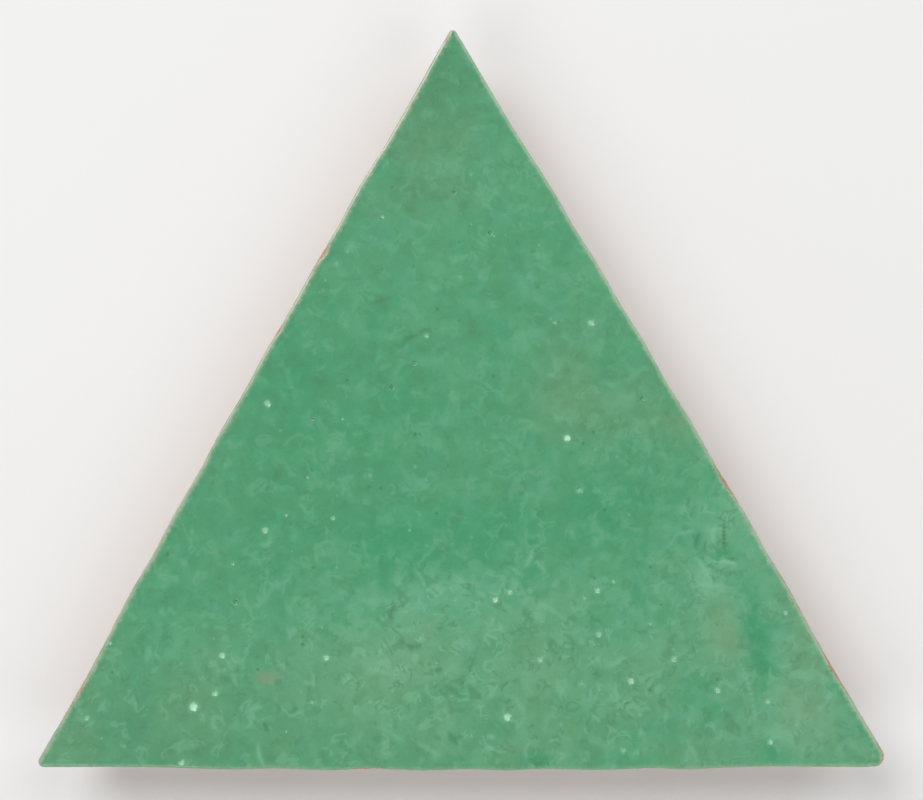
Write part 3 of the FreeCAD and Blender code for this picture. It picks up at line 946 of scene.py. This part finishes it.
class ZELLIGE_OT_tile(bpy.types.Operator):
    """Lays the glazed and struck skin of the tile onto its solid"""

    bl_idname = "zellige.tile"
    bl_label = "Glazed tile"

    def execute(self, context):
        sizes = context.scene.zellige_tile
        material = glaze_and_clay(context.scene.zellige_finish)
        body = Body(NODE)
        measure = EdgeMeasure(body)
        side = (body.corners[1] - body.corners[0]).length
        mesh = first_mesh(body, round(side / sizes.grid))
        # Finer on the sides and once more along the face edge, and then laid onto the solid again
        refine(mesh, lambda place: measure.from_edge(place) < FINE_FACE and place.z > 5 * TRACE * MM)
        refine(mesh, lambda place: -FINE_SIDE < measure.from_edge(place) < FINE_FACE)
        for vertex in mesh.verts:
            if TRACE * MM < vertex.co.z < body.face_height(vertex.co) - 0.1 * TRACE * MM:
                vertex.co = body.surface.find_nearest(vertex.co)[0]
        # Pits are scattered over this mesh, which is made finer where they are
        base = self.as_piece(mesh, measure, "base")
        pits = new_object("pits", pits_mesh(base, body, sizes))
        self.refine_marks(mesh, pits.data, body.high.z)
        bmesh.ops.triangulate(mesh, faces=mesh.faces)
        for vertex in mesh.verts:
            if vertex.co.z > body.face_height(vertex.co) - TRACE * MM:
                vertex.co.z = body.face_height(vertex.co)
        fine = self.as_piece(mesh, measure, "fine")
        mesh.free()
        piece = new_object(PIECE, relief_tree(pits, sizes, material).bake(fine))
        piece.data.shade_smooth()
        piece.data.set_sharp_from_angle(angle=math.radians(SHARP))
        for helper in (base, pits, fine):
            bpy.data.objects.remove(helper)
        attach(piece, "root")
        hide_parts(NODE)
        return {"FINISHED"}

    def refine_marks(self, mesh, pits, height):
        """Makes the mesh finer near strokes and pinholes."""
        points = np.concatenate([stroke_points(stroke) for stroke in STROKES]) * MM
        streaks = search_tree([(x, y, height) for x, y in points])
        for margin in STROKE_MARGINS:
            refine(mesh, lambda place: streaks.find(place)[2] < margin * MM)

        shining = np.flatnonzero(read(pits, "shine"))
        spots = search_tree(coordinates(pits)[shining])
        widths = read(pits, "width")[shining]
        for margin in PIT_MARGINS:
            def near_pinhole(place):
                _, number, distance = spots.find(place)
                return distance < PIT_RIM * widths[number] + margin * MM

            refine(mesh, near_pinhole)

    def as_piece(self, mesh, measure, name):
        """The mesh as an object, with what the nodes need to know at each vertex."""
        data = bpy.data.meshes.new(name)
        mesh.to_mesh(data)
        places = coordinates(data)
        from_edge = np.array([measure.from_edge(Vector(place)) for place in places.tolist()])
        store(data, "from_edge", from_edge)
        fewer = np.interp(places[:, 1] / MM, FEWER_FROM_TO, FEWER)
        store(data, "glazed", np.clip((from_edge - PIT_FREE) / PIT_FADE, 0, 1) * fewer)
        store(data, "bare", np.clip((-from_edge - PIT_FREE) / PIT_FADE, 0, 1))
        for field, values in zip(("green", "light", "strokes", "rust"), patch_fields(places)):
            store(data, field, values)
        store(data, "tone", stroke_field(places))
        for field, values in zip(("line", "warmth", "paleness"), edge_wear(places, measure.body.sides)):
            store(data, field, values)
        return new_object(name, data)


def seen(tree):
    """1 for what the camera sees, straight or in gloss or glass, and 0 for light on its way."""
    rays = tree.node("ShaderNodeLightPath")
    names = ("Is Camera Ray", "Is Glossy Ray", "Is Transmission Ray")
    camera, glossy, through = (rays.output(name) for name in names)
    return camera.at_least(glossy).at_least(through)


def floor_material(colour):
    """A matt floor with a trace of cloudiness, which fades into an even paleness far from the tile."""
    tree = Shader("floor")
    place = tree.node("ShaderNodeTexCoord", None, (), "Object")
    shade = tree.scaled(tuple(colour), 0.99 + 0.02 * tree.noise(place, 0.06, 2))
    matt = tree.node("ShaderNodeBsdfPrincipled", None, {"Base Color": shade, "Roughness": 0.9})
    far = tree.node("ShaderNodeVectorMath", {"operation": "LENGTH"}, [place], "Value")
    glow = tree.node("ShaderNodeEmission", None, {"Color": (BACKDROP, BACKDROP, BACKDROP, 1.0)})
    share = far.ramp(FADE_FROM, FADE_TO) * seen(tree)
    return tree.finish(tree.node("ShaderNodeMixShader", None, [share, matt, glow]))


class ZELLIGE_OT_stage(bpy.types.Operator):
    """Lays a pale floor and sets soft lamps and the camera, which looks straight down"""

    bl_idname = "zellige.stage"
    bl_label = "Stage"

    FLOOR = 40.0          # half the floor's width, m
    LAMP_AWAY = 0.9       # from the tile's middle to a lamp, m
    LAMP_SIZE = 0.55
    LAMP_HEIGHT = 52      # degrees above the floor
    # Azimuth in degrees and share of the light: a window side and three fill sides
    LAMPS = ((130, 0.48), (50, 0.20), (230, 0.18), (320, 0.14))
    SKY_LOW, SKY_HIGH = 0.55, 0.08      # level of the sky at the floor and overhead

    def execute(self, context):
        stage = context.scene.zellige_stage
        low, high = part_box(NODE)
        middle = (low + high) / 2
        self.lay_floor(stage)
        self.hang_lamps(stage, middle)
        self.light_sky(context)
        self.set_camera(context, stage, low, high)
        context.scene.view_settings.view_transform = "Standard"
        return {"FINISHED"}

    def lay_floor(self, stage):
        mesh = bpy.data.meshes.new("floor")
        corners = [(-1, -1), (1, -1), (1, 1), (-1, 1)]
        mesh.from_pydata([(x * self.FLOOR, y * self.FLOOR, 0) for x, y in corners], [], [(0, 1, 2, 3)])
        floor = new_object("floor", mesh)
        floor.data.materials.append(floor_material(stage.floor))

    def hang_lamps(self, stage, middle):
        for number, (azimuth, share) in enumerate(self.LAMPS):
            lamp = bpy.data.lights.new(f"lamp_{number}", "AREA")
            lamp.shape = "DISK"
            lamp.size = self.LAMP_SIZE
            rise = math.radians(self.LAMP_HEIGHT)
            # A white floor shows as white under all lamps and the sky, which gives a third of its low
            # level and two thirds of its high one
            level = 1 - (self.SKY_LOW + 2 * self.SKY_HIGH) / 3
            lamp.energy = stage.light * share * level * math.pi**2 * self.LAMP_AWAY**2 / math.sin(rise)
            turn = math.radians(azimuth)
            out = Vector((math.cos(turn) * math.cos(rise), math.sin(turn) * math.cos(rise), math.sin(rise)))
            holder = new_object(lamp.name, lamp)
            holder.location = middle + out * self.LAMP_AWAY
            holder.rotation_euler = out.to_track_quat("Z", "Y").to_euler()

    def light_sky(self, context):
        world = bpy.data.worlds.new("sky")
        world.use_nodes = True
        background = world.node_tree.nodes["Background"]
        tree = Tree(world.node_tree)
        direction = tree.node("ShaderNodeTexCoord", None, (), "Generated")
        height = tree.part(direction, "Z").at_least(0)
        level = self.SKY_LOW + (self.SKY_HIGH - self.SKY_LOW) * height
        # Where it meets the floor it looks as pale as the floor
        level = level + (BACKDROP - level) * height.ramp(0.45, 0.10) * seen(tree)
        world.node_tree.links.new(level.socket, background.inputs["Strength"])
        background.inputs["Color"].default_value = (1, 1, 1, 1)
        context.scene.world = world

    def set_camera(self, context, stage, low, high):
        camera = bpy.data.cameras.new("camera")
        camera.lens = stage.lens
        camera.sensor_width = 36.0
        camera.clip_start = 0.01
        width = high.x - low.x
        away = width / stage.fill * camera.lens / camera.sensor_width
        holder = new_object("camera", camera)
        holder.location = ((low.x + high.x) / 2, (low.y + high.y) / 2, high.z + away)
        context.scene.camera = holder


class ZELLIGE_PT_panel(bpy.types.Panel):
    """Shows the buttons that build the tile and the stage, with their sizes, colours and settings"""

    bl_idname = "ZELLIGE_PT_panel"
    bl_label = "Zellige tile"
    bl_space_type = "VIEW_3D"
    bl_region_type = "UI"
    bl_category = "Zellige"

    def draw(self, context):
        for operator, group in (
            (ZELLIGE_OT_tile.bl_idname, context.scene.zellige_tile),
            (None, context.scene.zellige_finish),
            (ZELLIGE_OT_stage.bl_idname, context.scene.zellige_stage),
        ):
            box = self.layout.box()
            if operator:
                box.operator(operator)
            for name in group.__annotations__:
                box.prop(group, name)


GROUPS = {
    "zellige_tile": TileProperties,
    "zellige_finish": FinishProperties,
    "zellige_stage": StageProperties,
}
CLASSES = (*GROUPS.values(), ZELLIGE_OT_tile, ZELLIGE_OT_stage, ZELLIGE_PT_panel)


def register():
    for each in CLASSES:
        bpy.utils.register_class(each)
    for name, group in GROUPS.items():
        setattr(bpy.types.Scene, name, PointerProperty(type=group))


def unregister():
    for name in GROUPS:
        delattr(bpy.types.Scene, name)
    for each in reversed(CLASSES):
        bpy.utils.unregister_class(each)


def main():
    register()
    bpy.ops.zellige.tile()
    bpy.ops.zellige.stage()


if __name__ == "__main__":
    main()
